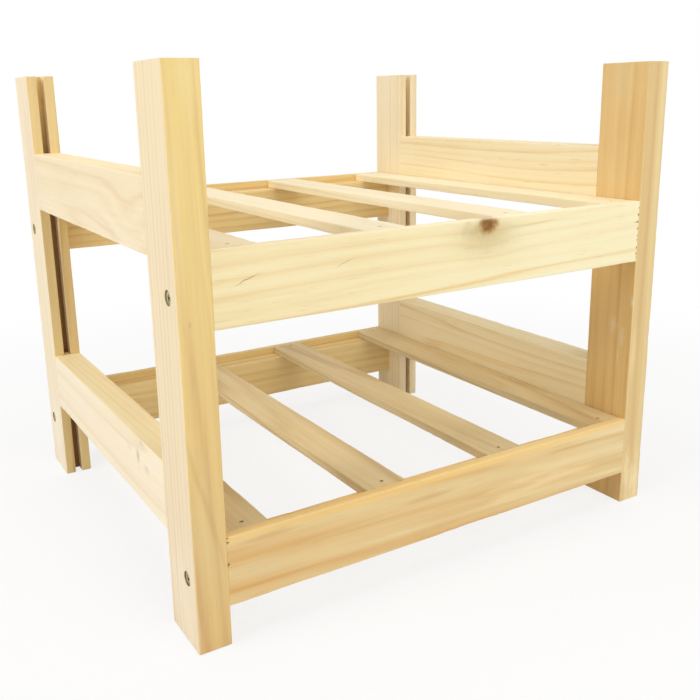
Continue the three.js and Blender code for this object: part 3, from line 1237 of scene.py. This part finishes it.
for nail in nails.values():
    piece = finished_object("steel_" + nail.node, nail.placed(turned(nail_rows(nail), ROUND_SIDES)))
    dress(piece, nail.node, nail_steel)

# Stage and light, in metres and watts. A lamp is a place, a side, a power and a colour.
AMBIENT = 0.34
AMBIENT_COLOUR = (1.0, 0.985, 0.96, 1.0)
FLOOR_HALF = 6.0
FLOOR_DROP = 0.0003
FLOOR_COLOUR = (0.90, 0.90, 0.90, 1.0)
FLOOR_GLOW = 0.80
FLOOR_FADE = (0.20, 0.65)
LAMP_AIM = (0.0, 0.0, 0.13)
LAMPS = {
    "key": ((-1.40, -0.10, 1.00), 0.9, 12.6, (0.97, 0.98, 1.0)),
    "front": ((0.30, -1.30, 0.75), 1.0, 8.0, (1.0, 0.97, 0.92)),
    "top": ((0.05, 0.0, 1.25), 1.0, 4.4, (1.0, 0.99, 0.96)),
}

# The photograph's view, with the heading clockwise, the tilt upwards and the roll to the right in degrees
CAMERA_PLACE = (-271.9, -469.1, 250.6)
CAMERA_HEADING = 31.09
CAMERA_TILT = -14.26
CAMERA_ROLL = 1.12
PHOTO_SIDE = 700
FOCAL_PIXELS = 857.2
CENTRE_PIXEL = (338.5, 315.5)
SENSOR = 36.0
NEAREST_SEEN = 0.01


def light_seen(nodes):
    """1 for rays that show what they meet and 0 for rays that gather light."""
    path = nodes.node("LightPath", {}).outputs
    total = path["Is Camera Ray"]
    for other in ("Is Glossy Ray", "Is Transmission Ray"):
        total = nodes.math("MAXIMUM", total, path[other])
    return total


def make_world():
    world = bpy.data.worlds.new("white_room")
    bpy.context.scene.world = world
    nodes = Nodes(world)
    nodes.tree.nodes.clear()
    seen = nodes.add("Background", WHITE, 1.0)
    fill = nodes.add("Background", AMBIENT_COLOUR, AMBIENT)
    nodes.node("OutputWorld", {"Surface": nodes.add("MixShader", light_seen(nodes), fill, seen)})


def floor_material():
    """Pale and matt near the rack, for its soft shadow, and white further out."""
    material = bpy.data.materials.new("floor")
    nodes = Nodes(material)
    nodes.tree.nodes.clear()
    matt = nodes.add("BsdfDiffuse", FLOOR_COLOUR)
    glow = nodes.add("Emission", WHITE)
    away = nodes.vector("LENGTH", nodes.add("TexCoord", output="Object"))
    fade = nodes.smooth(away, *FLOOR_FADE, FLOOR_GLOW, 1.0)
    share = nodes.times(light_seen(nodes), fade)
    nodes.node("OutputMaterial", {"Surface": nodes.add("MixShader", share, matt, glow)})
    return material


def make_floor():
    corners = [(x * FLOOR_HALF, y * FLOOR_HALF, -FLOOR_DROP) for x, y in SQUARE]
    mesh = bpy.data.meshes.new("floor")
    mesh.from_pydata(corners, [], [(0, 1, 2, 3)])
    mesh.materials.append(floor_material())
    floor = link("floor", mesh)


def area_lamp(name, place, side, watts, colour):
    lamp = bpy.data.lights.new(name, "AREA")
    lamp.shape = "SQUARE"
    lamp.size = side
    lamp.energy = watts
    lamp.color = colour
    made = link(name, lamp)
    made.location = place
    made.rotation_euler = (Vector(LAMP_AIM) - Vector(place)).to_track_quat("-Z", "Y").to_euler()


def make_camera():
    data = bpy.data.cameras.new("camera")
    data.sensor_width = SENSOR
    data.lens = FOCAL_PIXELS / PHOTO_SIDE * SENSOR
    data.shift_x = (PHOTO_SIDE / 2 - CENTRE_PIXEL[0]) / PHOTO_SIDE
    data.shift_y = (CENTRE_PIXEL[1] - PHOTO_SIDE / 2) / PHOTO_SIDE
    data.clip_start = NEAREST_SEEN
    camera = link("camera", data)
    view = Matrix.Translation(Vector(CAMERA_PLACE) * MM)
    for degrees, axis in ((-CAMERA_HEADING, "Z"), (90 + CAMERA_TILT, "X"), (-CAMERA_ROLL, "Z")):
        view = view @ Matrix.Rotation(math.radians(degrees), 4, axis)
    camera.matrix_world = view
    bpy.context.scene.camera = camera


make_world()
make_floor()
for name, settings in LAMPS.items():
    area_lamp(name, *settings)
make_camera()
bpy.context.scene.view_settings.view_transform = "Standard"
